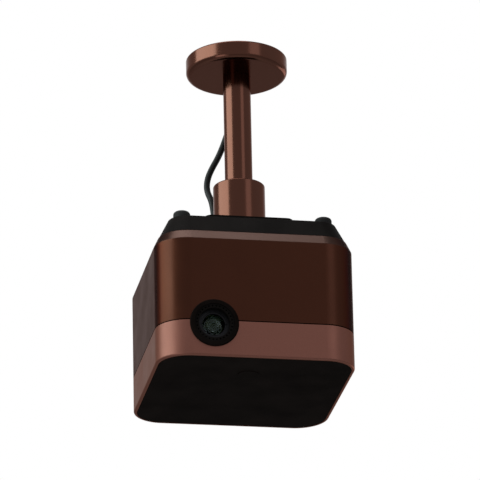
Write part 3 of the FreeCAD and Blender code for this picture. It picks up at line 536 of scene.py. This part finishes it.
def tube(name, points, radius, sides):
    """Closed round tube along points that lie in the lead's plane."""
    across = Vector((math.sin(LEAD_PLANE), math.cos(LEAD_PLANE), 0.0))
    vertices = []
    for index, point in enumerate(points):
        before = points[max(index - 1, 0)]
        after = points[min(index + 1, len(points) - 1)]
        outward = (after - before).normalized().cross(across)
        for side in range(sides):
            angle = 2 * math.pi * side / sides
            vertices.append(point + radius * (math.cos(angle) * across + math.sin(angle) * outward))
    faces = []
    for ring in range(len(points) - 1):
        for side in range(sides):
            near = ring * sides + side
            next_near = ring * sides + (side + 1) % sides
            faces.append((near, next_near, next_near + sides, near + sides))
    last = (len(points) - 1) * sides
    faces.append(tuple(reversed(range(sides))))
    faces.append(tuple(range(last, last + sides)))
    mesh = bpy.data.meshes.new(name)
    mesh.from_pydata(vertices, [], faces)
    mesh.validate()
    mesh.shade_smooth()
    piece = bpy.data.objects.new(name, mesh)
    bpy.context.scene.collection.objects.link(piece)
    return piece


def make_lead(material):
    """The power lead: a fixed tube along its route from the stem to the head, shown in place of the
    part's own lead.
    """
    points = lead_line()
    lead = tube("power_lead_tube", points, LEAD_DIAMETER / 2, LEAD_SIDES)
    dress(lead, material)
    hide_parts("power_lead")
    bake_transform(lead)


# Stage, light and camera

def make_floor():
    """Plain pale floor, far below the light."""
    material, shader = new_material("floor")
    dark = (FLOOR_TONE * (1.0 - FLOOR_MOTTLE),) * 3
    light = (FLOOR_TONE * (1.0 + FLOOR_MOTTLE),) * 3
    paint(material, shader, two_tones(material, noise(material, FLOOR_GRAIN), dark, light))
    shader.inputs["Roughness"].default_value = FLOOR_ROUGHNESS
    mesh = bpy.data.meshes.new("floor")
    rim = []
    for side in range(FLOOR_SIDES):
        angle = 2 * math.pi * side / FLOOR_SIDES
        rim.append((FLOOR_RADIUS * math.cos(angle), FLOOR_RADIUS * math.sin(angle), FLOOR_LEVEL))
    mesh.from_pydata(rim, [], [tuple(range(FLOOR_SIDES))])
    floor = bpy.data.objects.new("floor", mesh)
    bpy.context.scene.collection.objects.link(floor)
    dress(floor, material)


def make_world():
    """White behind the object and in its reflections, softer for the light that falls on it."""
    world = bpy.data.worlds.new("studio")
    world.use_nodes = True
    bpy.context.scene.world = world
    nodes = world.node_tree.nodes
    links = world.node_tree.links
    nodes.clear()
    rays = nodes.new("ShaderNodeLightPath")
    seen = nodes.new("ShaderNodeMath")
    seen.operation = "ADD"
    links.new(rays.outputs["Is Camera Ray"], seen.inputs[0])
    links.new(rays.outputs["Is Glossy Ray"], seen.inputs[1])
    seen_all = nodes.new("ShaderNodeMath")
    seen_all.operation = "ADD"
    seen_all.use_clamp = True
    links.new(seen.outputs["Value"], seen_all.inputs[0])
    links.new(rays.outputs["Is Transmission Ray"], seen_all.inputs[1])
    ambient = nodes.new("ShaderNodeBackground")
    ambient.inputs["Strength"].default_value = AMBIENT_STRENGTH
    ambient.inputs["Color"].default_value = WHITE
    backdrop = nodes.new("ShaderNodeBackground")
    backdrop.inputs["Strength"].default_value = 1.0
    backdrop.inputs["Color"].default_value = WHITE
    mix = nodes.new("ShaderNodeMixShader")
    links.new(seen_all.outputs["Value"], mix.inputs["Fac"])
    links.new(ambient.outputs["Background"], mix.inputs[1])
    links.new(backdrop.outputs["Background"], mix.inputs[2])
    output = nodes.new("ShaderNodeOutputWorld")
    links.new(mix.outputs["Shader"], output.inputs["Surface"])


def softbox(name, location, width, height, power):
    """Large soft lamp that faces straight down until it is turned."""
    lamp = bpy.data.lights.new(name, "AREA")
    lamp.shape = "RECTANGLE"
    lamp.size = width
    lamp.size_y = height
    lamp.energy = power
    holder = bpy.data.objects.new(name, lamp)
    holder.location = location
    holder.visible_camera = False
    bpy.context.scene.collection.objects.link(holder)
    return holder


def make_lights():
    """Wide cool softbox on the left, a weak one on the right, two low strips and a bank overhead."""
    side = softbox("side", (-1.2, -0.1, 0.53), width=1.3, height=0.72, power=24.7)
    side.data.color = SIDE_TINT
    fill = softbox("fill", (0.69, -1.1, 0.46), width=0.55, height=0.6, power=1.7)
    front_strip = softbox("front_strip", (-0.9, -0.9, -0.45), width=0.5, height=0.8, power=3.8)
    rear_strip = softbox("rear_strip", (0.9, 0.9, -0.45), width=0.5, height=0.8, power=3.8)
    for lamp in (side, fill, front_strip, rear_strip):
        lamp.rotation_euler = (CAMERA_AIM - lamp.location).to_track_quat("-Z", "Y").to_euler()
    softbox("overhead", (-0.24, -0.25, 1.05), width=1.0, height=0.8, power=18.0)


def make_camera():
    """Camera at the photograph's angle, turned to the aim and then rolled."""
    camera = bpy.data.cameras.new("camera")
    camera.sensor_width = SENSOR_MM
    camera.lens = SENSOR_MM / 2 * CAMERA_DISTANCE / VIEW_HALF_WIDTH
    holder = bpy.data.objects.new("camera", camera)
    flat = math.cos(CAMERA_ELEVATION)
    back = Vector((
        math.sin(CAMERA_AZIMUTH) * flat,
        -math.cos(CAMERA_AZIMUTH) * flat,
        math.sin(CAMERA_ELEVATION),
    ))
    holder.location = CAMERA_AIM + back * CAMERA_DISTANCE
    level = (-back).to_track_quat("-Z", "Y")
    holder.rotation_euler = (level @ Quaternion((0.0, 0.0, 1.0), CAMERA_ROLL)).to_euler()
    bpy.context.scene.collection.objects.link(holder)
    bpy.context.scene.camera = holder


materials = {slot: make() for slot, make in FINISHES.items()}
dress_nodes(materials)
make_lead(materials["lead_sheath"])
make_floor()
make_world()
make_lights()
make_camera()
bpy.context.scene.view_settings.view_transform = "Standard"
